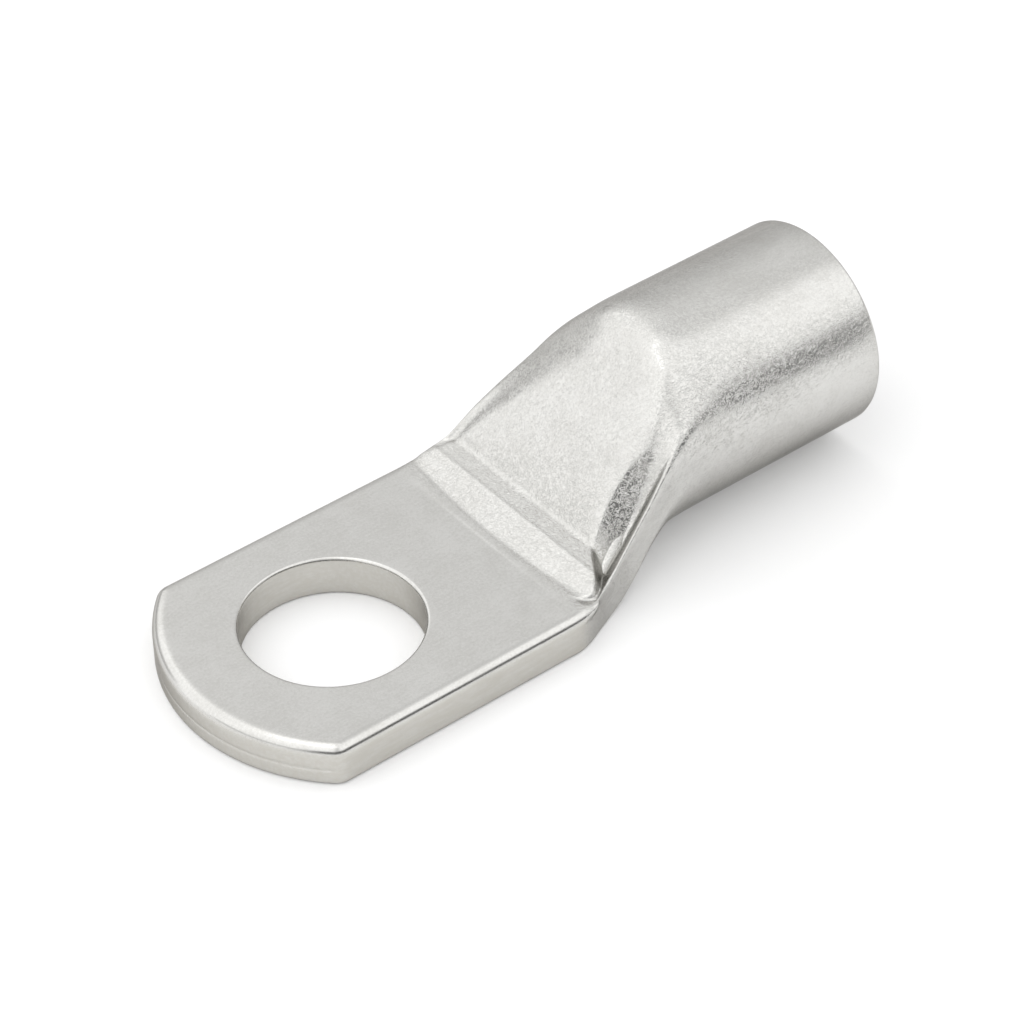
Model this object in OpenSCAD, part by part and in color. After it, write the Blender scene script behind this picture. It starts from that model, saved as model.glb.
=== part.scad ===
// Tubular cable lug: a soft copper tube with one end left round for the
// conductor and the other end pressed flat and pierced for a bolt.
// Millimetres, +Z up. The origin is the centre of the bolt hole on the
// underside of the palm, and +X points out of the mouth of the barrel.

/* [Palm] */
// Diameter of the bolt hole, a clearance hole for an M12 bolt
bolt_hole_d = 13; // [10:0.5:14]
// Width of the flat palm across the lug
palm_w = 21.4; // [20:0.2:24]
// Thickness of the palm, the two tube walls pressed together
palm_t = 3.3; // [2.8:0.1:3.8]
// Distance from the hole centre to the tip of the palm
tip_reach = 12; // [10.5:0.5:15]
// Radius of the arc that rounds off the front of the palm
tip_arc_r = 14.3; // [12.5:0.1:20]
// Radius of the folded edge along the top of each straight side
side_fold_r = 1; // [0.4:0.1:1.4]
// Rounding where the sides meet the underside
under_edge_r = 0.3; // [0.1:0.1:0.6]
// Roll-over of the sheared top edge along the front arc
shear_roll = 0.65; // [0.2:0.05:0.8]
// Roll-over of the top edge of the bolt hole
hole_roll = 0.3; // [0.1:0.05:0.6]

/* [Neck] */
// Distance from the hole centre to the end of the flat palm
neck_x = 13.3; // [11:0.1:18]
// Length of the short ramp that the press leaves behind the palm
ramp_run = 3.3; // [2:0.1:5]
// Height of that ramp
ramp_rise = 0.75; // [0.3:0.05:1.2]
// Length of the narrow land between the ramp and the slope
land_run = 1.4; // [0.8:0.1:3]
// Height gained over the land
land_rise = 0.25; // [0:0.05:0.5]
// Angle of the slope that climbs to the top of the barrel
slope_angle = 54; // [40:1:60]
// How far below the top of the barrel the slope starts to round over
brow_drop = 2.8; // [1:0.1:4]
// Length over which the top of the slope rounds into the barrel
brow_run = 5; // [3:0.1:7]

/* [Barrel] */
// Outer diameter of the barrel
barrel_d = 16; // [14.5:0.1:18]
// Bore that takes the stripped conductor
bore_d = 12.4; // [11:0.1:13.4]
// Distance from the hole centre to the mouth of the barrel
mouth_x = 43.5; // [38:0.5:55]
// Rounding of the two rims of the mouth
rim_r = 0.3; // [0.1:0.05:0.5]

/* [Hidden] */

through = 1;              // overshoot of a cut past the face that it opens
seam = 0.02;              // how far the neck lies under the palm and the barrel
seat = 0.6;               // how far the neck runs into each of them
arc_steps = 5;            // chords in a quarter of a small rounding
pocket_sides = 40;        // chords round the inside of the neck
crease_r = 0.3;           // how far a crease of the press is rounded
soft_r = 0.9;             // how far the lines along the sides are rounded

palm_half = palm_w / 2;
barrel_r = barrel_d / 2;
bore_r = bore_d / 2;
wall = barrel_r - bore_r;
tip_arc_x = tip_arc_r - tip_reach;

// Heights along the middle of the neck
land_x = neck_x + ramp_run;
slope_x = land_x + land_run;
slope_z = palm_t + ramp_rise + land_rise;
brow_x = slope_x + (barrel_d - brow_drop - slope_z) / tan(slope_angle);
brow_end_x = brow_x + brow_run;
neck_end_x = brow_end_x + 1;
middle_line = [
    [neck_x, palm_t],
    [land_x, palm_t + ramp_rise],
    [slope_x, slope_z],
    [brow_x, barrel_d - brow_drop],
    [mix(brow_x, brow_end_x, 0.4), barrel_d - 0.36 * brow_drop],
    [brow_end_x, barrel_d],
];

// The pocket inside the neck opens from a slit, one wall below the slope
slit = 0.3;
roof_drop = wall + wall / cos(slope_angle);
pocket_x = slope_x + (slit + roof_drop - slope_z) / tan(slope_angle);
bore_end_x = neck_end_x - 2;
pocket_line = [
    [pocket_x, slit],
    [brow_x, barrel_d - brow_drop - roof_drop],
    [bore_end_x, bore_d],
];

// The corners that lead the section round the barrel are those of an octagon
octagon_half = barrel_r * tan(22.5);
octagon_low = barrel_r - octagon_half;
octagon_high = barrel_r + octagon_half;
foot_angle = 45;

// Lines along the neck. Each point holds [share of the neck's length, share of the
// way from the palm's value to the barrel's], with the right side before the left.
waist_lines = [
    [[0, 0], [0.06, 0.07], [0.12, 0.22], [0.2, 0.44], [0.26, 0.59], [0.37, 0.78], [0.49, 0.85], [0.86, 1]],
    [[0, 0], [0.11, 0.09], [0.2, 0.19], [0.27, 0.3], [0.37, 0.5], [0.48, 0.7], [0.63, 0.89], [0.86, 1]],
];
low_lines = [
    [[0.2, 0], [0.3, 0.08], [0.37, 0.23], [0.45, 0.57], [0.51, 0.85], [0.59, 1.09], [0.7, 1.15], [0.86, 1]],
    [[0.08, 0.01], [0.25, 0.2], [0.37, 0.43], [0.51, 0.85], [0.59, 1.09], [0.7, 1.15], [0.86, 1]],
];
fold_lines = [
    [[0.08, 0], [0.17, 0.01], [0.23, 0.05], [0.27, 0.11], [0.37, 0.3], [0.49, 0.6], [0.55, 0.75], [0.62, 0.87], [0.8, 1]],
    [[0.08, 0], [0.18, 0.05], [0.26, 0.12], [0.32, 0.3], [0.37, 0.42], [0.49, 0.66], [0.62, 0.81], [0.83, 1]],
];
foot_lines = [
    [[0, 0.42], [0.05, 0.28], [0.16, 0.23], [0.25, 0.54], [0.29, 0.65], [0.4, 0.79], [0.55, 0.75], [0.66, 0.89], [0.86, 1]],
    [[0, 0.42], [0.05, 0.28], [0.11, 0.2], [0.2, 0.2], [0.32, 0.34], [0.43, 0.58], [0.55, 0.75], [0.66, 0.89], [0.86, 1]],
];
drop_lines = [
    [[0.03, 0], [0.11, 0.15], [0.2, 0.32], [0.26, 0.43], [0.34, 0.75], [0.4, 0.83], [0.55, 0.51], [0.66, 0.51], [0.86, 1]],
    [[0.25, 0.04], [0.37, 0.06], [0.43, 0.17], [0.48, 0.3], [0.66, 0.56], [0.86, 1]],
];
ridge_lines = [
    [[0, 0.43], [0.05, 0.23], [0.1, 0.16], [0.16, 0.21], [0.21, 0.35], [0.29, 0.62], [0.39, 0.74], [0.55, 0.81],
     [0.66, 1.01], [0.86, 1]],
    [[0, 0.43], [0.05, 0.23], [0.11, 0.16], [0.25, 0.2], [0.32, 0.28], [0.43, 0.54], [0.5, 0.7], [0.66, 1.04], [0.86, 1]],
];

// How far each corner is rolled, in millimetres at the palm and in octagon halves at the barrel
low_roll_line = [[0.4, 0], [0.57, 0.2], [0.71, 0.55], [0.87, 1]];
fold_roll_line = [[0.02, 0], [0.1, -0.24], [0.28, -0.17], [0.51, 0.05], [0.66, 0.43], [0.87, 1]];
foot_roll_line = [[0, 0.03], [0.28, 0.1], [0.51, 0.3], [0.86, 0.6]];
ridge_roll_line = [[0, 0.03], [0.25, 0.08], [0.34, 0.18], [0.51, 0.36], [0.63, 0.66], [0.8, 1]];
belly_line = [[0.28, 0.75], [0.51, 0.62], [0.86, 0.414]];

// Straight runs between the corners of the half section, and the rolls at them
run_steps = [1, 2, 2, 1, 1, 3];
roll_steps = [2, 3, 5, 3, 5];

function mix(a, b, k) = a + (b - a) * k;
function clamp(v) = min(max(v, 0), 1);
function ease(v) = let (s = clamp(v)) s * s * (3 - 2 * s);
function unit(v) = v / max(norm(v), 0.000001);

// A line of straight runs with its corners rounded over a length r
function rounded(x, line, r) =
    (lookup(x - r, line) + 2 * lookup(x - r / 2, line) + 3 * lookup(x, line)
        + 2 * lookup(x + r / 2, line) + lookup(x + r, line)) / 9;

// Height of the middle of the neck, with crisp creases and a soft brow
function middle_z(x) =
    rounded(x, middle_line, mix(crease_r, 1.9, ease((x - slope_x) / (brow_x - slope_x) - 0.7)));

// A point of a corner's roll: part of a circle where both its ends are as far from the corner
function roll_point(a, c, b, turn, u) =
    let (p = (1 - u) * (1 - u), q = 2 * u * (1 - u) * cos(turn / 2), r = u * u)
    (p * a + q * c + r * b) / (p + q + r);

// Straight runs through a list of corners, with each inner corner rolled
function rolled_path(corners, rolls) =
    let (
        last = len(corners) - 1,
        runs = [for (i = [1:last]) corners[i] - corners[i - 1]],
        ways = [for (r = runs) unit(r)],
        starts = [for (i = [0:last - 1])
            i == 0 ? corners[0] : corners[i] + ways[i] * min(rolls[i - 1], 0.49 * norm(runs[i]))],
        ends = [for (i = [1:last])
            i == last ? corners[i] : corners[i] - ways[i - 1] * min(rolls[i - 1], 0.49 * norm(runs[i - 1]))]
    )
    concat(
        [for (i = [0:last - 1], j = [0:run_steps[i] - 1]) each concat(
            [mix(starts[i], ends[i], j / run_steps[i])],
            i < last - 1 && j == run_steps[i] - 1
                ? let (turn = acos(clamp(ways[i] * ways[i + 1])))
                    [for (m = [0:roll_steps[i] - 1])
                        roll_point(ends[i], corners[i + 1], starts[i + 1], turn, m / roll_steps[i])]
                : [])],
        [corners[last]]
    );

// The half section at a station x, for side 0 on the right or 1 on the left
function station(x, side) =
    let (
        s = (x - neck_x) / (neck_end_x - neck_x),
        r = soft_r / (neck_end_x - neck_x),
        top = middle_z(x),
        waist = mix(palm_half, barrel_r, rounded(s, waist_lines[side], r)),
        low = mix(0, octagon_low, rounded(s, low_lines[side], r)),
        fold = mix(palm_t, octagon_high, rounded(s, fold_lines[side], r)),
        foot = mix(palm_half, barrel_r * sin(foot_angle), rounded(s, foot_lines[side], r / 2)),
        drop = barrel_r * (1 - cos(foot_angle)) * rounded(s, drop_lines[side], r),
        ridge = mix(palm_half, octagon_half, rounded(s, ridge_lines[side], r / 2)),
        section = rolled_path(
            [[0, 0], [barrel_r * rounded(s, belly_line, r), 0], [waist, low], [waist, fold],
             [foot, top - drop], [ridge, top], [0, top]],
            [octagon_half,
             mix(under_edge_r, octagon_half, rounded(s, low_roll_line, r)),
             mix(side_fold_r, octagon_half, rounded(s, fold_roll_line, r)),
             octagon_half * rounded(s, foot_roll_line, r),
             octagon_half * rounded(s, ridge_roll_line, r)]),
        round_share = ease((s - 0.71) / 0.29)
    )
    [for (p = section)
        let (
            a = atan2(p[1] - barrel_r, p[0]),
            q = mix(p, barrel_r * [cos(a), 1 + sin(a)], round_share)
        )
        [x, q[0] * (1 - seam / waist), seam + q[1] * (1 - 2 * seam / top)]];

// A closed ring from the left half section up and the right one down again
function ring(x) =
    let (right = station(x, 0), left = station(x, 1))
    concat(
        left,
        [for (i = [len(right) - 2:-1:1]) [x, -right[i][1], right[i][2]]]
    );

// The point halfway between the lowest and the highest point of a ring
function middle(ring) = (ring[0] + ring[len(ring) / 2]) / 2;

// A solid skinned over a list of equal rings, each end closed by a fan of triangles
module skin(rings) {
    n = len(rings[0]);
    last = len(rings) - 1;
    hub = n * len(rings);
    sides = [
        for (j = [0:last - 1], i = [0:n - 1])
            let (a = j * n + i, b = j * n + (i + 1) % n)
                each [[a, a + n, b], [b, a + n, b + n]]
    ];
    front = [for (i = [0:n - 1]) [i, (i + 1) % n, hub]];
    back = [for (i = [0:n - 1]) [last * n + (i + 1) % n, last * n + i, hub + 1]];
    polyhedron(
        points = concat([for (r = rings, p = r) p], [middle(rings[0]), middle(rings[last])]),
        faces = concat(sides, front, back),
        convexity = 6
    );
}

// Cross-section of the palm, standing in the plane across the lug
module palm_section() {
    low = [for (i = [0:arc_steps]) let (a = 90 * i / arc_steps)
        [palm_half - under_edge_r + under_edge_r * sin(a), under_edge_r - under_edge_r * cos(a)]];
    top = [for (i = [0:arc_steps]) let (a = 90 * i / arc_steps)
        [palm_half - side_fold_r + side_fold_r * cos(a), palm_t - side_fold_r + side_fold_r * sin(a)]];
    right = concat(low, top);
    left = [for (i = [len(right) - 1:-1:0]) [-right[i][0], right[i][1]]];
    polygon(concat(right, left));
}

// Half profile of a round disc as thick as the palm with its top edge rolled over
module tip_profile() {
    roll = [for (i = [0:arc_steps]) let (a = 90 * i / arc_steps)
        [tip_arc_r - shear_roll + shear_roll * cos(a), palm_t - shear_roll + shear_roll * sin(a)]];
    polygon(concat([[0, 0], [tip_arc_r, 0]], roll, [[0, palm_t]]));
}

module palm() {
    intersection() {
        translate([-tip_reach - through, 0, 0])
            rotate([90, 0, 90])
                linear_extrude(neck_x + tip_reach + through) palm_section();
        union() {
            translate([tip_arc_x, 0, 0]) rotate_extrude($fn = 180) tip_profile();
            translate([tip_arc_x, -palm_w, -through]) cube([neck_x - tip_arc_x, 2 * palm_w, palm_t + 2 * through]);
        }
    }
}

module bolt_hole() {
    hole_r = bolt_hole_d / 2;
    translate([0, 0, -through]) cylinder(h = palm_t + 2 * through, r = hole_r, $fn = 96);
    flare = [for (i = [0:arc_steps]) let (a = 90 * i / arc_steps)
        [hole_r + hole_roll - hole_roll * cos(a), palm_t - hole_roll + hole_roll * sin(a)]];
    rotate_extrude($fn = 96)
        polygon(concat([[0, palm_t - hole_roll]], flare,
            [[hole_r + hole_roll, palm_t + through], [0, palm_t + through]]));
}

// Outside of the tube from the end of the palm to the start of the barrel
module neck() {
    xs = concat(
        [neck_x - seat],
        [for (i = [0:3]) neck_x + i * crease_r],
        [for (i = [1:4]) mix(neck_x + 3 * crease_r, land_x - crease_r, i / 4)],
        [land_x, land_x + crease_r],
        [for (i = [1:2]) mix(land_x + crease_r, slope_x - crease_r, i / 2)],
        [slope_x, slope_x + crease_r],
        [for (i = [1:16]) mix(slope_x + crease_r, neck_end_x, i / 16)],
        [neck_end_x + seat]
    );
    skin([for (x = xs) ring(x)]);
}

// Inside of the neck: ellipses that close from the round bore to a wide slit
module neck_pocket() {
    slit_half_w = palm_half - 2 * wall;
    steps = 12;
    rings = [for (i = [0:steps + 1])
        let (
            x = i > steps ? bore_end_x + seat : mix(pocket_x, bore_end_x, i / steps),
            high = rounded(x, pocket_line, wall / 2) / 2 - seam,
            wide = mix(slit_half_w, bore_r - seam, clamp(high / bore_r))
        )
        [for (a = [-90:360 / pocket_sides:269])
            [x, wide * cos(a), wall + seam + high * (1 + sin(a))]]];
    skin(rings);
}

// Outside of the barrel with its mouth edge rounded
module barrel() {
    length = mouth_x - neck_end_x;
    edge = [for (i = [0:arc_steps]) let (a = 90 * i / arc_steps)
        [barrel_r - rim_r + rim_r * cos(a), length - rim_r + rim_r * sin(a)]];
    translate([neck_end_x, 0, barrel_r])
        rotate([0, 90, 0])
            rotate_extrude($fn = 144)
                polygon(concat([[0, 0], [barrel_r, 0]], edge, [[0, length]]));
}

// Bore for the conductor, flared a little at the mouth
module bore() {
    length = mouth_x - bore_end_x;
    flare = [for (i = [0:arc_steps]) let (a = 90 * i / arc_steps)
        [bore_r + rim_r - rim_r * cos(a), length - rim_r + rim_r * sin(a)]];
    translate([bore_end_x, 0, barrel_r])
        rotate([0, 90, 0])
            rotate_extrude($fn = 144)
                polygon(concat([[0, 0], [bore_r, 0]], flare,
                    [[bore_r + rim_r, length + through], [0, length + through]]));
}

module lug() {
    color("silver")
        difference() {
            union() {
                palm();
                neck();
                barrel();
            }
            bolt_hole();
            neck_pocket();
            bore();
        }
}

lug();
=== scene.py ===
"""A tinned copper tubular cable lug, in a plain white studio.

The palm is a pressed flat plate with a bolt hole, the neck rises from it in a ramp, a land and a long
sloping flat with a fold along each side, and the barrel takes the cable. It is one closed skin.

X runs along the lug from the bolt hole to the barrel's mouth, Y across the palm and Z up. The lug's
sizes are in millimetres, and Skin.build turns them into metres.
"""

import logging
import math
from dataclasses import dataclass
from enum import Enum
from typing import Dict, List, Sequence, Tuple, Union

import bpy
import numpy as np
from mathutils import Matrix, Vector

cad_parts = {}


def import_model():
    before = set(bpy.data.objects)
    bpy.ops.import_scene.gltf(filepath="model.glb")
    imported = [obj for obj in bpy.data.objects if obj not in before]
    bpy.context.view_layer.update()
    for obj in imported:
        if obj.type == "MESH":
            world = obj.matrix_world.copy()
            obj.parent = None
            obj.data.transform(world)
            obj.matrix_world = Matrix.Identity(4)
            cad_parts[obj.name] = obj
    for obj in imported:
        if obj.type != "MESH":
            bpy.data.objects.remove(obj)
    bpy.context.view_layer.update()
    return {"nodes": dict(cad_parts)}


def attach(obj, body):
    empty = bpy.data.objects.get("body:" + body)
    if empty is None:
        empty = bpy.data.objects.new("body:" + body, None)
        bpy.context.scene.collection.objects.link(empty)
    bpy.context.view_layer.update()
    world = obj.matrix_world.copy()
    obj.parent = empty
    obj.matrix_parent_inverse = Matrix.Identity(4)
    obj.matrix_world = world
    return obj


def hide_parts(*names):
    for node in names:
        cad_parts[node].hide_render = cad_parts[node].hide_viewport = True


LOG = logging.getLogger("lug")
MM = 0.001
SOFT_TAPS = 17            # samples in the window that softens a line's corners
TINY = 1e-6               # keeps the window's outermost samples from weighing nothing
NO_LENGTH = 1e-9          # keeps a run of no length from dividing by zero
MOST_OF_RUN = 0.49        # the largest share of a run that the roll at either end may take
WHITE = (1.0, 1.0, 1.0, 1.0)

Colour = Tuple[float, float, float, float]
Line = Tuple[Tuple[float, float], ...]      # (position, value) corners in order
Step = Tuple[float, float]                  # where a smooth step starts and how far it runs
Socket = bpy.types.NodeSocket
Value = Union[Socket, float, Sequence[float]]


class Side(Enum):
    """The two long sides of the lug, by the sign of Y.

    The neck was pressed a little off centre, so they differ.
    """

    RIGHT = -1.0
    LEFT = 1.0


def soft_line(x: np.ndarray, line: Line, soft: float) -> np.ndarray:
    """Height of a line of straight runs with its corners softened.

    The straight-line height is averaged over a window of half width `soft`, weighted as a triangle.
    Past its ends the line keeps its first and last value.

    Args:
        x: positions along the lug, in millimetres.
        line: (position, value) corners in order.
        soft: half width of the averaging window, in millimetres.
    Returns:
        The softened value at each position.
    """
    xs, vs = np.array(line).T
    taps = np.linspace(-1.0, 1.0, SOFT_TAPS)
    weights = 1.0 - np.abs(taps) + TINY
    total = sum(w * np.interp(x + tap * soft, xs, vs) for tap, w in zip(taps, weights))
    return total / weights.sum()


def step(x: np.ndarray, start: float, run: float) -> np.ndarray:
    """A smooth step with level ends.

    With u = (x - start) / run, held between 0 and 1, it is u squared times (3 - 2u).

    Args:
        x: where it is wanted.
        start: where it is still 0.
        run: how far on it reaches 1.
    Returns:
        The step at each x, from 0 to 1.
    """
    u = np.clip((x - start) / run, 0.0, 1.0)
    return u * u * (3.0 - 2.0 * u)


def rolled_corner(before: np.ndarray, corner: np.ndarray, after: np.ndarray, count: int) -> np.ndarray:
    """A parabola that leaves `before`, pulls towards `corner` and arrives at `after`.

    Position is (1-u)^2 before + 2u(1-u) corner + u^2 after, for u from 0 to 1.

    Args:
        before, corner, after: points, with any leading shape and 2 or 3 coordinates last.
        count: samples, both ends included.
    Returns:
        The samples, with a new axis of length `count` before the coordinates.
    """
    u = np.linspace(0.0, 1.0, count)[:, None]
    before, corner, after = (p[..., None, :] for p in (before, corner, after))
    return (1 - u) ** 2 * before + 2 * u * (1 - u) * corner + u ** 2 * after


def round_rings(angle: np.ndarray, x: np.ndarray, wide: np.ndarray, tall: np.ndarray,
                centre: Union[float, np.ndarray]) -> np.ndarray:
    """Upright rings, each an ellipse.

    Y is the half width times cos(angle), and Z the centre plus the half height times sin(angle).

    Args:
        angle: the angles of a ring's points.
        x: one place for each ring.
        wide, tall, centre: each ring's half width, half height and height of its centre, with a
            last axis of length 1.
    Returns:
        Points of shape (rings, columns, 3).
    """
    y = wide * np.cos(angle)
    z = centre + tall * np.sin(angle)
    return np.stack([np.broadcast_to(x[:, None], y.shape), y, z], -1)


class Skin:
    """Gathers grids of points into one closed mesh, welding the points that patches share."""

    WELD = 1e-4

    def __init__(self) -> None:
        """Start with no points and no faces."""
        self.points: List[np.ndarray] = []
        self.faces: List[np.ndarray] = []
        self.count = 0

    def add_grid(self, grid: np.ndarray, closed: bool = False, flip: bool = False) -> None:
        """Add a grid of points as four-sided faces.

        Args:
            grid: points of shape (rows, columns, 3), in millimetres.
            closed: whether the last column joins the first.
            flip: whether the faces turn the other way.
        """
        rows, cols, _ = grid.shape
        index = np.arange(rows * cols).reshape(rows, cols) + self.count
        if closed:
            index = np.concatenate([index, index[:, :1]], axis=1)
        quads = np.stack([index[:-1, :-1], index[1:, :-1], index[1:, 1:], index[:-1, 1:]], axis=-1)
        quads = quads.reshape(-1, 4)
        self.faces.append(quads[:, ::-1] if flip else quads)
        self.points.append(grid.reshape(-1, 3))
        self.count += rows * cols

    def build(self, name: str) -> bpy.types.Object:
        """Weld the patches and make the object.

        Points that round to the same multiple of WELD are one point. Faces that collapse to a line
        are dropped, and those with one collapsed edge become triangles.

        Args:
            name: the object's name.
        Returns:
            The new object, smooth shaded, in metres, at the origin.
        """
        points = np.concatenate(self.points)
        quads = np.concatenate(self.faces)
        keys = np.round(points / self.WELD).astype(np.int64)
        _, first, inverse = np.unique(keys, axis=0, return_index=True, return_inverse=True)
        quads = inverse.reshape(-1)[quads]
        same = quads == np.roll(quads, -1, axis=1)
        crossed = (quads[:, 0] == quads[:, 2]) | (quads[:, 1] == quads[:, 3])
        whole = quads[(same.sum(axis=1) == 0) & ~crossed]
        part = (same.sum(axis=1) == 1) & ~crossed
        threes = quads[part][~same[part]].reshape(-1, 3)
        mesh = bpy.data.meshes.new(name)
        mesh.from_pydata((points[first] * MM).tolist(), [], whole.tolist() + threes.tolist())
        mesh.polygons.foreach_set("use_smooth", np.ones(len(mesh.polygons), dtype=bool))
        mesh.update()
        obj = bpy.data.objects.new(name, mesh)
        bpy.context.scene.collection.objects.link(obj)
        return obj


@dataclass(frozen=True)
class NeckSide:
    """How one side of the neck runs from the palm to the barrel.

    Each line gives a distance from the middle (_y), a height (_z), a depth below the top (_drop) or a
    roll distance (_roll) along the lug. At the barrel they reach the regular octagon round it, whose
    half side is 3.31 for a barrel of radius 8, and whose corners are rolled until they meet.
    """

    waist_y: Line
    low_z: Line
    fold_z: Line
    fold_roll: Line
    foot_y: Line
    foot_drop: Line
    ridge_y: Line
    ridge_spread: float = 1.0


# The side that the press tool reached further down: a hollow facet runs along its flank.
PRESSED_SIDE = NeckSide(
    waist_y=((13.3, 10.7), (14.2, 10.5), (15.2, 10.1), (16.5, 9.5), (17.6, 9.1), (19.5, 8.6),
             (21.5, 8.4), (24.0, 8.15), (28.0, 8.0)),
    low_z=((16.6, 0.0), (17.4, 0.1), (18.4, 0.4), (19.5, 1.1), (20.9, 2.7), (22.0, 4.0), (23.4, 5.1),
           (25.2, 5.4), (28.0, 4.69)),
    fold_z=((14.5, 3.3), (16.0, 3.4), (17.1, 3.7), (17.8, 4.2), (19.6, 5.75), (20.6, 6.95),
            (21.7, 8.15), (22.6, 9.3), (23.8, 10.3), (25.1, 11.0), (26.9, 11.31)),
    fold_roll=((13.4, 1.0), (14.8, 0.45), (16.0, 0.4), (18.0, 0.6), (19.0, 0.85), (22.0, 1.1),
               (24.5, 2.0), (28.3, 3.31)),
    foot_y=((13.3, 8.6), (14.0, 9.3), (14.9, 9.7), (15.8, 9.55), (16.7, 8.8), (17.4, 8.0), (18.2, 7.6),
            (19.0, 7.4), (20.0, 7.25), (21.0, 7.2), (22.0, 7.25), (23.0, 7.3), (24.0, 7.0),
            (25.0, 6.5), (27.0, 5.7), (28.0, 5.66)),
    foot_drop=((13.6, 0.0), (15.0, 0.4), (16.2, 0.85), (17.0, 1.2), (17.7, 1.5), (18.5, 2.1),
               (19.5, 2.8), (20.5, 3.0), (21.5, 2.95), (22.5, 2.65), (23.5, 2.2), (24.5, 1.8),
               (25.5, 1.8), (26.5, 2.05), (28.0, 2.34)),
    ridge_y=((13.3, 7.5), (14.0, 9.0), (14.9, 9.5), (15.8, 9.15), (16.7, 8.1), (17.4, 6.95),
             (18.2, 6.1), (19.0, 5.6), (19.9, 5.3), (21.0, 5.15), (22.0, 5.15), (23.0, 5.3),
             (24.0, 5.0), (25.0, 4.3), (26.5, 3.5), (28.0, 3.31)),
    ridge_spread=3.2)

# The other side: a plain shoulder that falls away from the long flat.
PLAIN_SIDE = NeckSide(
    waist_y=((13.3, 10.7), (15.0, 10.45), (16.5, 10.2), (17.8, 9.95), (19.5, 9.6), (21.5, 9.1),
             (24.0, 8.45), (28.0, 8.0)),
    low_z=((12.0, 0.0), (14.5, 0.1), (17.4, 0.9), (19.5, 2.0), (22.0, 4.0), (23.4, 5.1), (25.2, 5.4),
           (28.0, 4.69)),
    fold_z=((14.5, 3.3), (16.2, 3.7), (17.6, 4.3), (18.7, 5.3), (19.6, 6.2), (20.6, 7.1), (21.7, 8.0),
            (22.6, 8.7), (23.8, 9.5), (25.1, 10.3), (27.5, 11.31)),
    fold_roll=((13.4, 1.0), (14.8, 0.6), (16.0, 0.5), (18.0, 0.6), (19.0, 0.85), (22.0, 1.3),
               (24.5, 2.0), (28.3, 3.31)),
    foot_y=((13.3, 8.6), (14.0, 9.3), (15.0, 9.7), (16.5, 9.75), (17.5, 9.6), (18.6, 9.25), (19.6, 8.8),
            (20.6, 8.2), (21.8, 7.4), (22.7, 6.9), (24.5, 6.2), (28.0, 5.66)),
    foot_drop=((15.0, 0.0), (17.5, 0.1), (18.6, 0.25), (19.6, 0.45), (20.6, 0.7), (21.8, 0.95),
               (22.7, 1.15), (24.5, 1.6), (26.0, 1.95), (28.0, 2.34)),
    ridge_y=((13.3, 7.5), (14.0, 9.0), (15.0, 9.5), (16.5, 9.45), (17.5, 9.2), (18.6, 8.6), (19.6, 7.8),
             (20.6, 6.7), (21.8, 5.5), (22.7, 4.6), (24.5, 2.6), (26.0, 2.8), (28.0, 3.31)))


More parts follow.
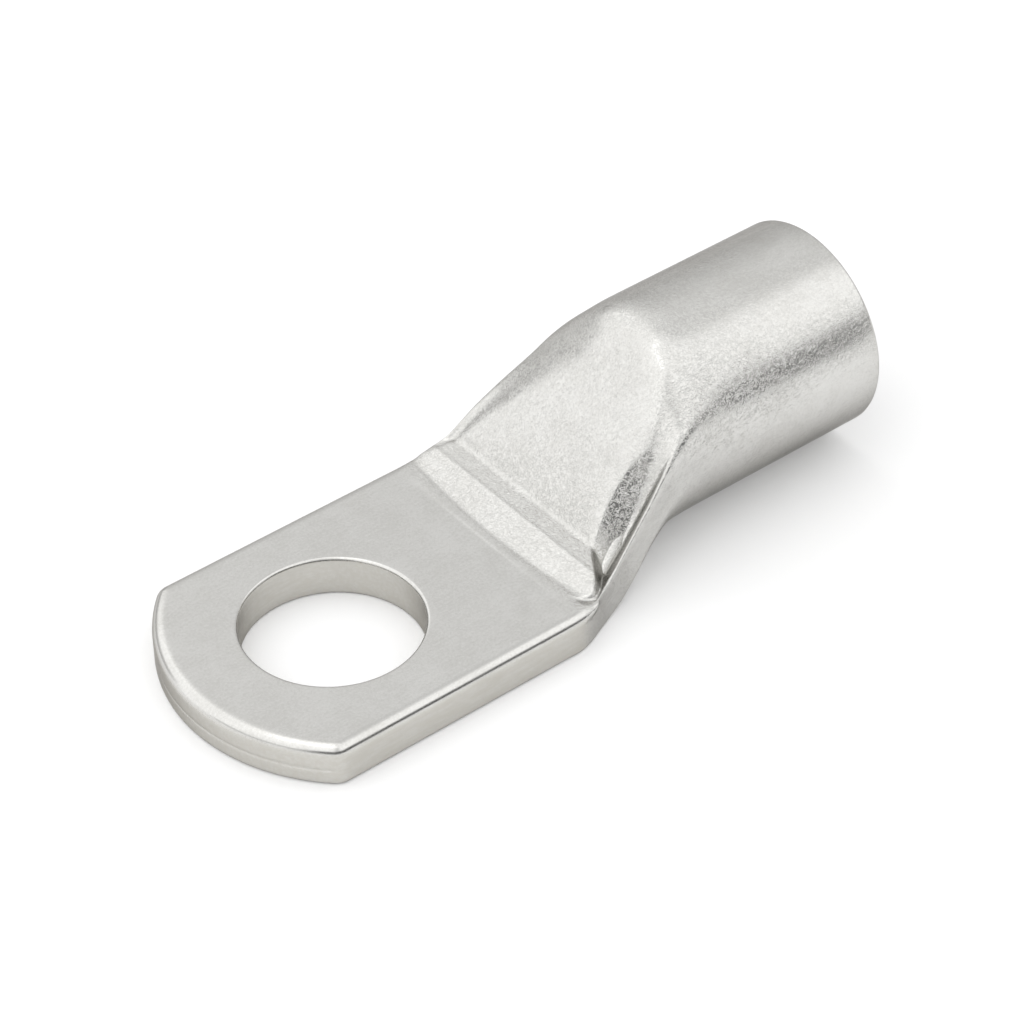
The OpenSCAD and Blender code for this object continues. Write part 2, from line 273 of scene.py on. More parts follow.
@dataclass
class CableLug:
    """The whole lug as one skin, with its sizes in millimetres."""

    # the palm
    palm_t: float = 3.3
    palm_half: float = 10.7
    hole_r: float = 6.5
    hole_roll: float = 0.3
    hole_roll_depth: float = 0.36
    hole_burr: float = 0.35
    tip_r: float = 14.3
    tip_reach: float = 12.0
    side_roll: float = 1.0
    tip_roll: float = 1.0
    under_roll: float = 0.42
    corner_roll: float = 0.6
    corner_closing: float = 0.6     # how fast the tip's corners sharpen as the edge rolls in
    corner_least: float = 0.06
    seam_z: float = 1.35            # where the tube's two walls meet on the sheared tip
    seam_half: float = 0.11
    seam_depth: float = 0.035

    # the neck
    neck_x: float = 13.1
    round_x: float = 24.2           # from here the sections turn into the barrel's circle
    neck_end: float = 30.5
    crease_soft: float = 0.14       # half widths of the windows that soften the lines
    brow_soft: float = 1.3
    fold_soft: float = 0.9
    ridge_soft: float = 0.54
    brow_step: Step = (22.5, 2.0)   # where the brow's window takes over from the creases'
    belly_extra: float = 1.5        # how much wider the belly rolls than the fold
    spread_in: Step = (17.5, 2.0)   # where the ridge's wider roll comes in and goes out
    spread_out: Step = (23.0, 4.0)
    crease_bow: float = 0.75        # how far the crease at the palm bows towards the barrel
    bow_in: float = 0.6
    bow_out: Step = (14.3, 1.6)
    bow_up: Step = (2.2, 1.0)
    top_line: Line = ((13.25, 3.3), (13.4, 3.335), (13.85, 3.35), (14.1, 3.335), (14.4, 3.4),
                      (16.15, 3.93), (16.4, 4.05), (16.65, 4.06), (17.85, 4.26), (18.05, 4.34),
                      (21.35, 8.86), (21.55, 9.19), (24.9, 13.6), (26.4, 15.1), (28.3, 15.8),
                      (30.2, 16.0))
    ridge_roll: Line = ((12.0, 0.1), (14.0, 0.12), (17.5, 0.25), (19.0, 0.45), (21.5, 0.8),
                        (23.0, 1.3), (24.5, 2.2), (27.0, 3.31))
    foot_roll: Line = ((12.0, 0.15), (14.0, 0.2), (18.0, 0.35), (21.0, 0.6), (23.0, 1.1), (28.0, 2.0))
    low_roll: Line = ((12.0, 0.3), (20.0, 0.4), (23.0, 0.9), (25.5, 2.0), (28.3, 3.31))
    belly_y: Line = ((18.0, 6.0), (22.0, 5.0), (28.0, 3.31))
    right: NeckSide = PRESSED_SIDE
    left: NeckSide = PLAIN_SIDE

    # the barrel and the bore
    barrel_r: float = 8.0
    bore_r: float = 6.2
    mouth_x: float = 43.5
    rim_roll: float = 0.3
    pocket_x: float = 14.2          # where the pocket inside the neck has closed to a slit
    pocket_half: float = 8.0
    slit: float = 0.15
    pocket_step: Step = (0.1, 0.9)  # as shares of the pocket's length
    pocket_tip: float = 0.1

    # How finely the patches are divided. In a half section the runs and corners below the lower
    # edge's corner add up to as many steps as those past the fold's, so that the flats' columns meet.
    edge_steps: Tuple[int, ...] = (34, 34, 24, 10, 10, 28)
    corner_steps: Tuple[int, ...] = (6, 10, 14, 10, 16)
    fine_end: float = 18.6
    fine_rings: int = 62
    plain_rings: int = 70
    side_points: int = 26
    bend_points: int = 9
    tip_points: int = 97
    hole_steps: Tuple[int, int, int] = (9, 7, 5)    # rolled rim, wall, lower edge
    flat_rows: Tuple[float, ...] = (0.0, 0.02, 0.06, 0.15, 0.3, 0.5, 0.7, 0.85, 0.94, 0.98, 1.0)
    rim_rings: int = 7
    barrel_rings: int = 10
    pocket_rings: int = 18

    # ---- the neck and the barrel -------------------------------------------------

    def half_section(self, x: np.ndarray, side: Side) -> np.ndarray:
        """Half of the outer section at each station, from the bottom centre round to the top centre.

        Seven corners lead the section: bottom centre, belly, lower edge, fold, foot of the flank,
        ridge and top centre. Between them it runs straight, and each corner is a parabola that starts
        its own roll distance before the corner and ends as far behind it; the ridge's may end further
        on, on the long flat. Towards the barrel each point moves over to the circle at its own angle.

        Args:
            x: stations along the lug, in millimetres.
            side: which half.
        Returns:
            Points of shape (stations, columns, 2), half width and height.
        """
        way = self.right if side is Side.RIGHT else self.left
        top = self.top_height(x)
        zero = np.zeros_like(x)
        waist = soft_line(x, way.waist_y, self.fold_soft)
        low = soft_line(x, way.low_z, self.fold_soft)
        fold = soft_line(x, way.fold_z, self.fold_soft)
        foot = top - soft_line(x, way.foot_drop, self.fold_soft)
        corners = np.stack([
            np.stack([zero, zero], -1),
            np.stack([soft_line(x, self.belly_y, self.fold_soft), zero], -1),
            np.stack([waist, low], -1),
            np.stack([waist, fold], -1),
            np.stack([soft_line(x, way.foot_y, self.ridge_soft), foot], -1),
            np.stack([soft_line(x, way.ridge_y, self.ridge_soft), top], -1),
            np.stack([zero, top], -1)])
        fold_roll = soft_line(x, way.fold_roll, self.fold_soft)
        low_roll = soft_line(x, self.low_roll, self.fold_soft)
        foot_roll = soft_line(x, self.foot_roll, self.fold_soft)
        ridge_roll = soft_line(x, self.ridge_roll, self.fold_soft)
        belly_roll = fold_roll + self.belly_extra
        spread = 1.0 + (way.ridge_spread - 1.0) * step(x, *self.spread_in) * (1.0 - step(x, *self.spread_out))
        rolls = [(belly_roll, belly_roll), (low_roll, low_roll), (fold_roll, fold_roll),
                 (foot_roll, foot_roll), (ridge_roll, ridge_roll * spread)]
        section = self.rolled_path(corners, rolls)
        angle = np.arctan2(section[..., 1] - self.barrel_r, section[..., 0])
        circle = self.barrel_r * np.stack([np.cos(angle), 1.0 + np.sin(angle)], -1)
        share = step(x, self.round_x, self.neck_end - self.round_x)[:, None, None]
        return section * (1 - share) + circle * share

    def rolled_path(self, corners: np.ndarray, rolls: Sequence[Tuple[np.ndarray, np.ndarray]]) -> np.ndarray:
        """Straight runs between corners, with a parabola at each inner corner.

        Args:
            corners: shape (corners, stations, 2).
            rolls: for each inner corner, how far before it the parabola starts and how far past it ends.
        Returns:
            Shape (stations, columns, 2).
        """
        edges = corners[1:] - corners[:-1]
        length = np.linalg.norm(edges, axis=-1)
        unit = edges / np.maximum(length, NO_LENGTH)[..., None]
        starts, ends = [corners[0]], []
        for i, (before, after) in enumerate(rolls, start=1):
            reach_in = np.minimum(before, MOST_OF_RUN * length[i - 1])[:, None]
            reach_out = np.minimum(after, MOST_OF_RUN * length[i])[:, None]
            ends.append(corners[i] - unit[i - 1] * reach_in)
            starts.append(corners[i] + unit[i] * reach_out)
        ends.append(corners[-1])
        pieces = []
        for i, steps in enumerate(self.edge_steps):
            u = np.linspace(0.0, 1.0, steps + 1)[:, None]
            run = starts[i][:, None, :] * (1 - u) + ends[i][:, None, :] * u
            pieces.append(run[:, :-1])
            if i < len(rolls):
                bend = rolled_corner(ends[i], corners[i + 1], starts[i + 1], self.corner_steps[i] + 1)
                pieces.append(bend[:, :-1])
        pieces.append(corners[-1][:, None, :])
        return np.concatenate(pieces, axis=1)

    def top_height(self, x: np.ndarray) -> np.ndarray:
        """Height of the centre of the top: crisp at the press's creases, soft at the brow.

        Args:
            x: stations along the lug.
        Returns:
            The height at each station.
        """
        crisp = soft_line(x, self.top_line, self.crease_soft)
        gentle = soft_line(x, self.top_line, self.brow_soft)
        share = step(x, *self.brow_step)
        return crisp * (1 - share) + gentle * share

    def rings(self, x: np.ndarray) -> np.ndarray:
        """Whole outer rings: the right half from the bottom up, then the left half down again.

        Just past the palm the upper face bows towards the barrel, by the square of the distance from
        the middle, as the crease there does.

        Args:
            x: stations along the lug.
        Returns:
            Points of shape (stations, columns, 3).
        """
        right = self.half_section(x, Side.RIGHT)
        left = self.half_section(x, Side.LEFT)[:, ::-1][:, 1:-1]
        y = np.concatenate([Side.RIGHT.value * right[..., 0], Side.LEFT.value * left[..., 0]], axis=1)
        z = np.concatenate([right[..., 1], left[..., 1]], axis=1)
        share = step(x, self.neck_x, self.bow_in) * (1.0 - step(x, *self.bow_out))
        bow = self.crease_bow * share[:, None] * np.square(y / self.palm_half) * step(z, *self.bow_up)
        return np.stack([x[:, None] + bow, y, z], -1)

    def barrel(self, skin: Skin, last: np.ndarray) -> None:
        """The barrel, its rounded mouth, the bore, and the pocket that closes towards the palm.

        The mouth's edge is a half turn of radius rim_roll at both walls. The pocket's rings are
        ellipses whose half height falls to the slit while they widen.

        Args:
            skin: what the patches are added to.
            last: the neck's last ring.
        """
        angle = np.arctan2(last[:, 2] - self.barrel_r, last[:, 1])
        turn = np.linspace(0.0, math.pi / 2, self.rim_rings)
        roll, back, far = self.rim_roll, self.neck_end, self.mouth_x - self.rim_roll
        count = self.barrel_rings
        x = np.concatenate([np.linspace(back, far, count), far + roll * np.sin(turn[1:]),
                            far + roll * np.cos(turn), np.linspace(far, back, count)[1:]])
        radius = np.concatenate([
            np.full(count, self.barrel_r), self.barrel_r - roll + roll * np.cos(turn[1:]),
            self.bore_r + roll - roll * np.sin(turn), np.full(count - 1, self.bore_r)])[:, None]
        skin.add_grid(round_rings(angle, x, radius, radius, self.barrel_r), closed=True)
        way = np.linspace(0.0, 1.0, self.pocket_rings)
        share = step(way, *self.pocket_step)[:, None]
        wide = self.bore_r + (self.pocket_half - self.bore_r) * share
        tall = self.bore_r + (self.slit - self.bore_r) * share
        centre = self.barrel_r + (self.palm_t / 2 - self.barrel_r) * share
        pocket = round_rings(angle, back + (self.pocket_x - back) * way, wide, tall, centre)
        skin.add_grid(pocket, closed=True)
        hub = np.array([self.pocket_x - self.pocket_tip, 0.0, self.palm_t / 2])
        skin.add_grid(np.stack([pocket[-1], np.broadcast_to(hub, pocket[-1].shape)]), closed=True)

    # ---- the palm ----------------------------------------------------------------

    def outline(self, side_inset: float, tip_inset: float, corner: float) -> np.ndarray:
        """The palm's outline from the neck along the left, round the tip and back along the right.

        The sides are straight lines at palm_half less the inset. The tip is a circle of tip_r less
        its inset, and the corner between them is a parabola.

        Args:
            side_inset: how far the sides move in.
            tip_inset: how far the tip moves in.
            corner: roll distance at the corners.
        Returns:
            Points of shape (columns, 2).
        """
        half = self.palm_half - side_inset
        radius = self.tip_r - tip_inset
        centre = self.tip_r - self.tip_reach
        meet = math.asin(half / radius)
        spare = corner / radius
        corner_x = centre - radius * math.cos(meet)
        straight = np.linspace(0.0, 1.0, self.side_points)
        side = np.stack([self.neck_x + (corner_x + corner - self.neck_x) * straight,
                         np.full(self.side_points, half)], -1)
        turn = np.linspace(meet - spare, -(meet - spare), self.tip_points)
        tip = np.stack([centre - radius * np.cos(turn), radius * np.sin(turn)], -1)
        bend = rolled_corner(side[-1], np.array([corner_x, half]), tip[0], self.bend_points)[1:-1]
        flip = np.array([1.0, -1.0])
        return np.concatenate([side, bend, tip, bend[::-1] * flip, side[::-1] * flip])

    def edge_profile(self, roll: float) -> np.ndarray:
        """Inset and height down the palm's edge: top roll, side, lower roll.

        Args:
            roll: roll distance of the top edge.
        Returns:
            Shape (levels, 2).
        """
        top = rolled_corner(np.array([roll, self.palm_t]), np.array([0.0, self.palm_t]),
                            np.array([0.0, self.palm_t - roll]), self.corner_steps[2] + 1)
        low = rolled_corner(np.array([0.0, self.under_roll]), np.array([0.0, 0.0]),
                            np.array([self.under_roll, 0.0]), self.corner_steps[1] + 1)
        side = np.linspace(0.0, 1.0, self.edge_steps[2] + 1)[1:-1, None]
        return np.concatenate([top, top[-1] * (1 - side) + low[0] * side, low])

    def palm_edge(self) -> np.ndarray:
        """The palm's edge: the outline at each level of the edge profile.

        The sheared tip shows the seam where the tube's two walls were pressed together, as a groove
        whose depth falls off as a bell curve. Round the two corners the height goes over from the
        side's level to the tip's.

        Returns:
            Points of shape (levels, columns, 3).
        """
        side_profile = self.edge_profile(self.side_roll)
        tip_profile = self.edge_profile(self.tip_roll)
        off_seam = (tip_profile[:, 1] - self.seam_z) / self.seam_half
        tip_profile[:, 0] += self.seam_depth * np.exp(-np.square(off_seam))
        side_end = self.side_points
        tip_start = side_end + self.bend_points - 2
        share = np.linspace(0.0, 1.0, self.bend_points)[1:-1]
        levels = []
        for (side_in, side_z), (tip_in, tip_z) in zip(side_profile, tip_profile):
            corner = max(self.corner_roll - self.corner_closing * tip_in, self.corner_least)
            plan = self.outline(side_in, tip_in, corner)
            height = np.full(len(plan), tip_z)
            height[:side_end] = side_z
            height[-side_end:] = side_z
            height[side_end:tip_start] = side_z * (1 - share) + tip_z * share
            height[-tip_start:-side_end] = tip_z * (1 - share) + side_z * share
            levels.append(np.concatenate([plan, height[:, None]], axis=1))
        return np.stack(levels)

    def palm(self, skin: Skin, first: np.ndarray) -> None:
        """The palm's edge, its two flats and the bolt hole.

        The edge ends on the neck's first ring, column for column. The flats run straight from the
        hole's rim out to the outline and that ring, so every column meets its neighbour.

        Args:
            skin: what the patches are added to.
            first: the neck's first ring.
        """
        edge = self.palm_edge()
        count = first.shape[0]
        low_end = self.edge_steps[0] + self.corner_steps[0] + self.edge_steps[1]
        top_start = low_end + self.corner_steps[1] + self.edge_steps[2] + self.corner_steps[2]
        edge[:, -1] = first[low_end:top_start + 1][::-1]
        edge[:, 0] = first[count - top_start:count - low_end + 1]
        skin.add_grid(edge)
        top_back = first[top_start:count - top_start + 1]
        low_back = np.concatenate([first[count - low_end:], first[:low_end + 1]])[::-1]
        top_loop = np.concatenate([edge[0], top_back[1:-1]])
        low_loop = np.concatenate([edge[-1], low_back[1:-1]])
        wall = self.hole_wall(top_loop, low_loop)
        skin.add_grid(wall, closed=True, flip=True)
        skin.add_grid(self.flat(wall[0], top_loop), closed=True)
        skin.add_grid(self.flat(wall[-1], low_loop), closed=True, flip=True)
        LOG.info("palm: %d columns round the hole", top_loop.shape[0])

    def hole_wall(self, top_loop: np.ndarray, low_loop: np.ndarray) -> np.ndarray:
        """The bolt hole: a punched rim that rolls in, a plain wall, and a small lower edge.

        Down the wall each column turns from the angle of its point on the upper loop to that of its
        point on the lower loop.

        Args:
            top_loop, low_loop: the outlines that the rim's columns point at.
        Returns:
            Points of shape (levels, columns, 3).
        """
        rim_steps, wall_steps, burr_steps = self.hole_steps
        top = rolled_corner(np.array([self.hole_r + self.hole_roll, self.palm_t]),
                            np.array([self.hole_r, self.palm_t]),
                            np.array([self.hole_r, self.palm_t - self.hole_roll_depth]), rim_steps)
        low = rolled_corner(np.array([self.hole_r, self.hole_burr]), np.array([self.hole_r, 0.0]),
                            np.array([self.hole_r + self.hole_burr, 0.0]), burr_steps)
        side = np.linspace(0.0, 1.0, wall_steps)[1:-1, None]
        profile = np.concatenate([top, top[-1] * (1 - side) + low[0] * side, low])
        angle_top = np.arctan2(top_loop[:, 1], top_loop[:, 0])
        angle_low = np.arctan2(low_loop[:, 1], low_loop[:, 0])
        share = np.linspace(0.0, 1.0, len(profile))[:, None]
        turn = np.angle(np.exp(1j * (angle_low - angle_top)))
        angle = angle_top + share * turn
        radius = profile[:, 0][:, None]
        z = np.broadcast_to(profile[:, 1][:, None], angle.shape)
        return np.stack([radius * np.cos(angle), radius * np.sin(angle), z], -1)

    def flat(self, rim: np.ndarray, loop: np.ndarray) -> np.ndarray:
        """A flat between the hole's rim and the outline, with rows close together at both ends.

        Args:
            rim: the hole's rim.
            loop: the outline, with as many points.
        Returns:
            Points of shape (rows, columns, 3).
        """
        u = np.array(self.flat_rows)[:, None, None]
        return rim[None] * (1 - u) + loop[None] * u

    # ---- the piece ---------------------------------------------------------------

    def make(self) -> bpy.types.Object:
        """Build the whole skin, with its rings closer together where the creases are.

        Returns:
            The lug's object.
        """
        skin = Skin()
        x = np.concatenate([np.linspace(self.neck_x, self.fine_end, self.fine_rings)[:-1],
                            np.linspace(self.fine_end, self.neck_end, self.plain_rings)])
        rings = self.rings(x)
        skin.add_grid(rings, closed=True)
        self.palm(skin, rings[0])
        self.barrel(skin, rings[-1])
        obj = skin.build("cable_lug")
        LOG.info("cable_lug: %d faces", len(obj.data.polygons))
        return obj


@dataclass(frozen=True)
class Noise:
    """One noise pattern: its scale in repeats for each metre, its octaves and how far it is bent."""

    scale: float
    detail: float
    rough: float
    bend: float = 0.0


@dataclass(frozen=True)
class Relief:
    """How strongly a height shows as bump, and the depth it stands for, in metres."""

    strength: float
    depth: float


class Graph:
    """A short hand for laying out a material's nodes."""

    def __init__(self, tree: bpy.types.NodeTree) -> None:
        """Clear the tree and keep it."""
        self.tree = tree
        tree.nodes.clear()

    def node(self, kind: str, **inputs: Value) -> bpy.types.Node:
        """Add a node and fill its sockets.

        Args:
            kind: the node's type name.
            inputs: socket names, spaces as underscores; a socket is linked, a value is set.
        Returns:
            The node.
        """
        node = self.tree.nodes.new(kind)
        for name, value in inputs.items():
            self.feed(node.inputs[name.replace("_", " ")], value)
        return node

    def feed(self, socket: Socket, value: Value) -> None:
        """Link a socket to another socket, or set its value.

        Args:
            socket: the input to fill.
            value: an output to link, or what to set.
        """
        if isinstance(value, Socket):
            self.tree.links.new(value, socket)
        else:
            socket.default_value = value

    def math(self, operation: str, *values: Value) -> Socket:
        """A Math node.

        Args:
            operation: the node's operation.
            values: its inputs in order.
        Returns:
            The result.
        """
        node = self.tree.nodes.new("ShaderNodeMath")
        node.operation = operation
        for socket, value in zip(node.inputs, values):
            self.feed(socket, value)
        return node.outputs[0]

    def blend(self, parts: Sequence[Tuple[Socket, float]]) -> Socket:
        """The sum of several values, each times its weight.

        Args:
            parts: (value, weight) pairs.
        Returns:
            The sum.
        """
        total = self.math("MULTIPLY", *parts[0])
        for value, weight in parts[1:]:
            total = self.math("MULTIPLY_ADD", value, weight, total)
        return total

    def span(self, value: Value, low: float, high: float, start: float, end: float) -> Socket:
        """Map a value from low..high to start..end by a smooth step, held at both ends.

        Args:
            value: what is mapped.
            low, high: where the step begins and ends.
            start, end: the result there.
        Returns:
            The mapped value.
        """
        node = self.node("ShaderNodeMapRange")
        node.interpolation_type = "SMOOTHSTEP"
        for name, number in (("Value", value), ("From Min", low), ("From Max", high), ("To Min", start),
                             ("To Max", end)):
            self.feed(node.inputs[name], number)
        return node.outputs["Result"]

    def noise(self, place: Socket, pattern: Noise) -> Socket:
        """A noise pattern's value at a place."""
        return self.node("ShaderNodeTexNoise", Vector=place, Scale=pattern.scale, Detail=pattern.detail,
                         Roughness=pattern.rough, Distortion=pattern.bend).outputs[0]

    def stretched(self, place: Socket, scale: Sequence[float]) -> Socket:
        """A place multiplied along each axis."""
        return self.node("ShaderNodeMapping", Vector=place, Scale=scale).outputs[0]

    def bump(self, relief: Relief, height: Socket, **normal: Socket) -> Socket:
        """The normal that a height gives, on top of another normal where one is named."""
        return self.node("ShaderNodeBump", Strength=relief.strength, Distance=relief.depth,
                         Height=height, **normal).outputs[0]

    def mix(self, share: Value, first: Value, second: Value) -> Socket:
        """A colour between two colours.

        Args:
            share: 0 gives the first, 1 the second.
            first, second: the colours.
        Returns:
            The colour.
        """
        node = self.tree.nodes.new("ShaderNodeMix")
        node.data_type = "RGBA"
        colours = [socket for socket in node.inputs if socket.type == "RGBA"]
        self.feed(node.inputs[0], share)
        self.feed(colours[0], first)
        self.feed(colours[1], second)
        return next(socket for socket in node.outputs if socket.type == "RGBA")


@dataclass(frozen=True)
class TinnedCopper:
    """Matt electroplated tin over copper: pale warm grey, with curled grain where the press drew it.

    The palm was pressed smooth, so its grain is fine and runs along the lug. The neck keeps the short
    curled furrows of the plating and they fade along the barrel. The palm's upright faces are rougher,
    a little brown where the metal was sheared, and painted darker as shade for the floor they reflect.
    Places along the lug are in metres.
    """

    name: str = "tinned_copper_satin"
    pale: Colour = (0.66, 0.655, 0.635, 1.0)
    dull: Colour = (0.59, 0.583, 0.56, 1.0)
    # painted shade on the palm's upright faces, for the floor they reflect, tinted a little brown as sheared
    # metal
    sheared_and_shaded: Colour = (0.56, 0.545, 0.505, 1.0)
    rim: Colour = (0.42, 0.41, 0.4, 1.0)        # the tint where the metal is seen at a flat angle
    cloud: Noise = Noise(300.0, 4.0, 0.6, 0.5)
    grain: Noise = Noise(5200.0, 3.0, 0.7)
    drawn: Noise = Noise(1.0, 3.0, 0.6)
    drawn_scale: Tuple[float, float, float] = (700.0, 3600.0, 3600.0)
    curl: Noise = Noise(1900.0, 2.0, 0.55, 2.4)
    speck: Noise = Noise(3300.0, 1.0, 0.5)
    tone_parts: Tuple[float, float, float] = (0.34, 0.5, 0.16)           # cloud, grain, drawn
    tone_span: Tuple[float, float] = (0.36, 0.62)
    # how much of the painted shade and the brown shear tint the drawn noise keeps
    shear_and_shade_span: Tuple[float, float] = (0.3, 0.7)
    shear_and_shade_least: float = 0.55
    furrow_width: float = 0.07
    speck_span: Tuple[float, float] = (0.62, 0.72)
    rise_parts: Tuple[float, float, float, float] = (0.75, 0.12, 0.15, 0.5)  # groove, grain, curl, speck
    fine: Relief = Relief(0.36, 0.00005)
    broad: Relief = Relief(0.12, 0.00008)
    rough_span: Tuple[float, float] = (0.25, 0.18)
    edge_rough: float = 0.12
    edge_slope: Tuple[float, float] = (0.1, 0.45)                        # the normal's height there
    neck_span: Tuple[float, float] = (0.0132, 0.0148)
    barrel_span: Tuple[float, float] = (0.027, 0.039)
    barrel_grain: float = 0.35

    def make(self) -> bpy.types.Material:
        """Build the material.

        Tone is a weighted sum of three noises, and it sets the colour and the roughness. Furrows are
        where a bent noise crosses its middle value.

        Returns:
            The finished material.
        """
        material = bpy.data.materials.new(self.name)
        material.use_nodes = True
        g = Graph(material.node_tree)
        place = g.node("ShaderNodeTexCoord").outputs["Object"]
        x = g.node("ShaderNodeSeparateXYZ", Vector=place).outputs[0]
        facing = g.node("ShaderNodeNewGeometry").outputs["True Normal"]
        up = g.math("ABSOLUTE", g.node("ShaderNodeSeparateXYZ", Vector=facing).outputs[2])
        neck = g.span(x, *self.neck_span, 0.0, 1.0)
        palm = g.math("SUBTRACT", 1.0, neck)
        # the palm's upright faces (sides, tip and hole wall): rougher, and given the painted shade below
        edge = g.math("MULTIPLY", palm, g.span(up, *self.edge_slope, 1.0, 0.0))
        cloud = g.noise(place, self.cloud)
        grain = g.noise(place, self.grain)
        drawn = g.noise(g.stretched(place, self.drawn_scale), self.drawn)
        tone = g.blend(list(zip((cloud, grain, drawn), self.tone_parts)))
        colour = g.mix(g.span(tone, *self.tone_span, 0.0, 1.0), self.dull, self.pale)
        # Painted shade: the palm's upright faces are darkened to stand in for the floor they reflect, with a
        # brown tint for the sheared metal.
        shear_and_shade_share = g.math("MULTIPLY", edge, g.span(drawn, *self.shear_and_shade_span, 1.0, self.shear_and_shade_least))
        colour = g.mix(shear_and_shade_share, colour, self.sheared_and_shaded)
        curl = g.noise(place, self.curl)
        furrow = g.math("ABSOLUTE", g.math("SUBTRACT", curl, 0.5))
        groove = g.span(furrow, 0.0, self.furrow_width, 0.0, 1.0)
        pressed = g.math("MULTIPLY", neck, g.span(x, *self.barrel_span, 1.0, self.barrel_grain))
        speck = g.span(g.noise(place, self.speck), *self.speck_span, 0.0, -1.0)
        parts = (g.math("MULTIPLY", groove, pressed), grain, curl, g.math("MULTIPLY", speck, pressed))
        fine = g.bump(self.fine, g.blend(list(zip(parts, self.rise_parts))))
        broad = g.bump(self.broad, cloud, Normal=fine)
        satin = g.span(tone, *self.tone_span, *self.rough_span)
        rough = g.math("ADD", satin, g.math("MULTIPLY", edge, self.edge_rough))
        shader = g.node("ShaderNodeBsdfPrincipled", Base_Color=colour, Metallic=1.0, Roughness=rough,
                        Normal=broad, Specular_Tint=self.rim)
        g.node("ShaderNodeOutputMaterial", Surface=shader.outputs[0])
        return material


@dataclass(frozen=True)
class PaleFloor:
    """A plain white table top."""

    name: str = "white_table"
    colour: Colour = (0.9, 0.9, 0.9, 1.0)
    lift: float = 0.08

    def make(self) -> bpy.types.Material:
        """Build the material: matt white, and lifted a little where the camera, a gloss or a glass sees it.

        Returns:
            The finished material.
        """
        material = bpy.data.materials.new(self.name)
        material.use_nodes = True
        g = Graph(material.node_tree)
        path = g.node("ShaderNodeLightPath")
        mirrored = g.math("MAXIMUM", path.outputs["Is Glossy Ray"], path.outputs["Is Transmission Ray"])
        seen = g.math("MAXIMUM", path.outputs["Is Camera Ray"], mirrored)
        matt = g.node("ShaderNodeBsdfDiffuse", Color=self.colour)
        glow = g.node("ShaderNodeEmission", Color=WHITE, Strength=g.math("MULTIPLY", seen, self.lift))
        both = g.node("ShaderNodeAddShader")
        g.feed(both.inputs[0], matt.outputs[0])
        g.feed(both.inputs[1], glow.outputs[0])
        g.node("ShaderNodeOutputMaterial", Surface=both.outputs[0])
        return material


@dataclass(frozen=True)
class Patch:
    """One soft patch of the studio's light or shade: where it stands and how far it spreads.

    All are in degrees but the gain. Past its half turn it fades over 1.5 times `soft`, and past its
    half height over `soft`.
    """

    turn: float
    height: float
    half_turn: float
    half_height: float
    soft: float
    gain: float
    turn_fade: float = 1.5

    def seen(self, g: Graph, x: Socket, y: Socket, height: Socket) -> Socket:
        """How much of the patch is seen in a direction.

        The turn away from the patch's middle is the angle between the direction and the middle,
        looked at from above, and the result is one smooth step in turn times one in height.

        Args:
            g: the world's graph.
            x, y: the direction's parts along the ground.
            height: its angle above the ground, in degrees.
        Returns:
            The share, from 0 to 1.
        """
        cos, sin = math.cos(math.radians(self.turn)), math.sin(math.radians(self.turn))
        along = g.math("ADD", g.math("MULTIPLY", x, cos), g.math("MULTIPLY", y, sin))
        across = g.math("SUBTRACT", g.math("MULTIPLY", y, cos), g.math("MULTIPLY", x, sin))
        angle = g.math("MULTIPLY", g.math("ARCTAN2", across, along), math.degrees(1.0))
        turn = g.math("ABSOLUTE", angle)
        rise = g.math("ABSOLUTE", g.math("SUBTRACT", height, self.height))
        in_turn = g.span(turn, self.half_turn, self.half_turn + self.turn_fade * self.soft, 1.0, 0.0)
        in_rise = g.span(rise, self.half_height, self.half_height + self.soft, 1.0, 0.0)
        return g.math("MULTIPLY", in_turn, in_rise)


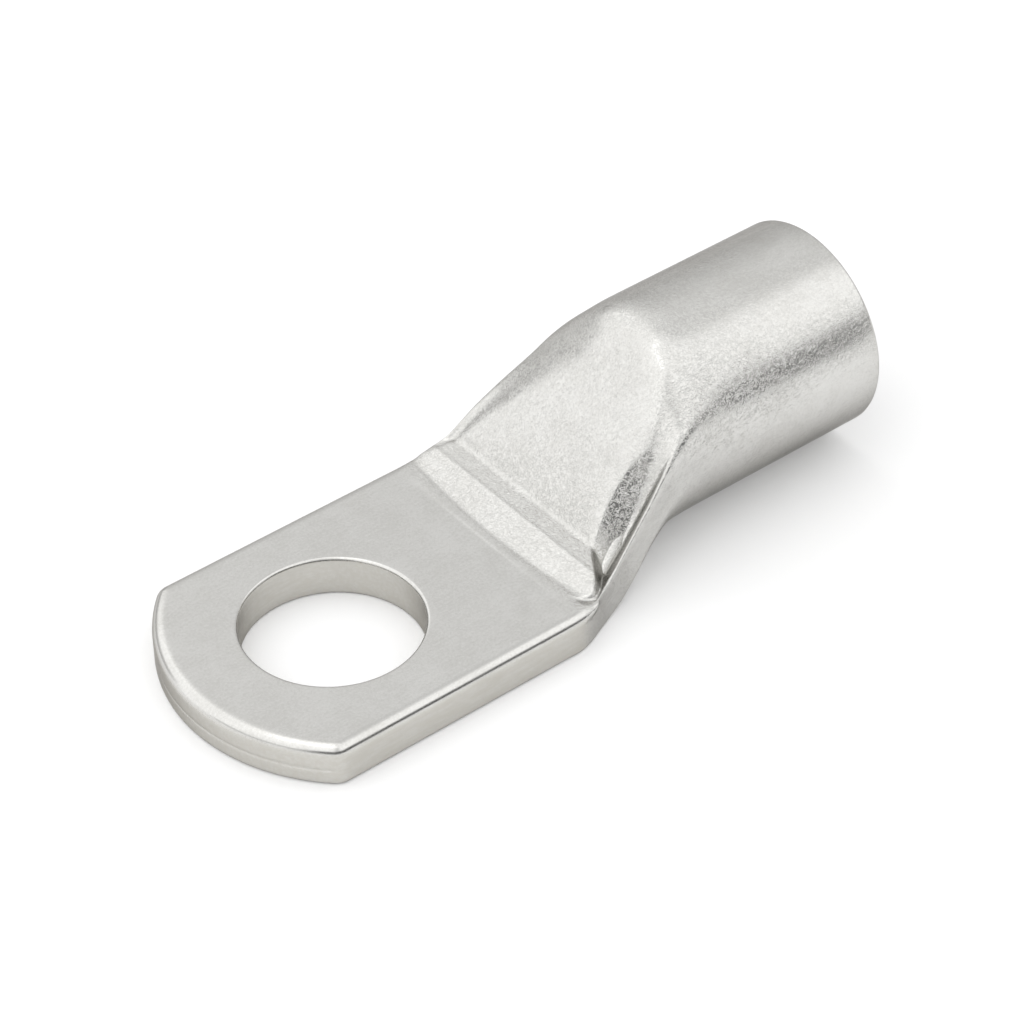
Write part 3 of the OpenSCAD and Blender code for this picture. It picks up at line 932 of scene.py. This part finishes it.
@dataclass
class Studio:
    """The white tent, the table and the camera: metres, degrees, and millimetres for the lens."""

    target: Tuple[float, float, float] = (0.015498, -0.000443, 0.005)
    azimuth: float = -127.951
    elevation: float = 40.194
    distance: float = 0.26155
    roll: float = -1.063
    lens: float = 130.94
    sensor: float = 36.0
    clip: Tuple[float, float] = (0.01, 20.0)
    table_half: float = 3.0
    base: float = 0.78
    # turn, height, half turn, half height, soft, gain
    boxes: Tuple[Patch, ...] = (
        Patch(-50.0, 44.0, 34.0, 14.0, 18.0, 0.62),
        Patch(150.0, 40.0, 60.0, 32.0, 22.0, 0.6),
        Patch(52.0, 44.0, 30.0, 6.0, 10.0, 0.17),
        Patch(-150.0, 64.0, 50.0, 14.0, 20.0, 0.12),
        Patch(0.0, 90.0, 360.0, 16.0, 14.0, 0.5))
    gaps: Tuple[Patch, ...] = (
        Patch(-104.0, 12.0, 43.0, 9.0, 7.0, 0.8),
        Patch(-50.0, 10.0, 30.0, 3.0, 5.0, 0.4),
        Patch(98.0, 6.0, 24.0, 10.0, 6.0, 0.5),
        Patch(-170.0, 9.0, 30.0, 3.0, 6.0, 0.45))

    def light(self) -> None:
        """The world: an even pale tent with brighter panels, and darker gaps low down where it ends.

        The panels are added to the even light, and then each gap takes its share away.
        """
        world = bpy.data.worlds.new("white_tent")
        bpy.context.scene.world = world
        world.use_nodes = True
        g = Graph(world.node_tree)
        way = g.node("ShaderNodeSeparateXYZ", Vector=g.node("ShaderNodeTexCoord").outputs["Generated"])
        x, y, z = way.outputs
        height = g.math("MULTIPLY", g.math("ARCSINE", z), math.degrees(1.0))
        value: Value = self.base
        for box in self.boxes:
            value = g.math("ADD", value, g.math("MULTIPLY", box.seen(g, x, y, height), box.gain))
        for gap in self.gaps:
            shade = g.math("SUBTRACT", 1.0, g.math("MULTIPLY", gap.seen(g, x, y, height), gap.gain))
            value = g.math("MULTIPLY", value, shade)
        tent = g.node("ShaderNodeBackground", Color=WHITE, Strength=value)
        g.node("ShaderNodeOutputWorld", Surface=tent.outputs[0])

    def table(self) -> bpy.types.Object:
        """A wide flat table top that the lug lies on.

        Returns:
            The table's object.
        """
        half = self.table_half
        mesh = bpy.data.meshes.new("table_top")
        mesh.from_pydata([(-half, -half, 0.0), (half, -half, 0.0), (half, half, 0.0), (-half, half, 0.0)],
                         [], [(0, 1, 2, 3)])
        obj = bpy.data.objects.new("table_top", mesh)
        mesh.materials.append(PaleFloor().make())
        bpy.context.scene.collection.objects.link(obj)
        return obj

    def camera(self) -> bpy.types.Object:
        """A long lens that looks down at the lug from the palm's end.

        It stands at azimuth and elevation round the target, looks at it, and leans by roll about its
        own line of sight.

        Returns:
            The camera's object.
        """
        data = bpy.data.cameras.new("studio_camera")
        data.sensor_width = self.sensor
        data.lens = self.lens
        data.clip_start, data.clip_end = self.clip
        obj = bpy.data.objects.new("studio_camera", data)
        bpy.context.scene.collection.objects.link(obj)
        turn, rise = math.radians(self.azimuth), math.radians(self.elevation)
        back = Vector((math.cos(rise) * math.cos(turn), math.cos(rise) * math.sin(turn), math.sin(rise)))
        right = Vector((0.0, 0.0, 1.0)).cross(back).normalized()
        up = back.cross(right)
        lean = Matrix.Rotation(math.radians(self.roll), 3, back)
        right, up = lean @ right, lean @ up
        obj.matrix_world = Matrix((
            (right.x, up.x, back.x, self.target[0] + back.x * self.distance),
            (right.y, up.y, back.y, self.target[1] + back.y * self.distance),
            (right.z, up.z, back.z, self.target[2] + back.z * self.distance),
            (0.0, 0.0, 0.0, 1.0)))
        bpy.context.scene.camera = obj
        return obj


def main() -> None:
    """Build the lug, dress it, light it, and log the counts of its nodes, faces and columns."""
    logging.basicConfig(level=logging.INFO, format="%(name)s: %(message)s")
    frame: Dict[str, Dict[str, object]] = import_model()
    LOG.info("frame: %d CAD node", len(frame["nodes"]))
    lug = CableLug().make()
    finish = TinnedCopper().make()
    lug.data.materials.append(finish)
    # The plain solid wears the same finish wherever it is shown by itself.
    for node in frame["nodes"].values():
        for slot in node.material_slots:
            slot.material = finish
    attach(lug, "root")
    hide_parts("lug")
    studio = Studio()
    studio.table()
    studio.light()
    studio.camera()
    bpy.context.scene.view_settings.view_transform = "Standard"


if __name__ == "__main__":
    main()
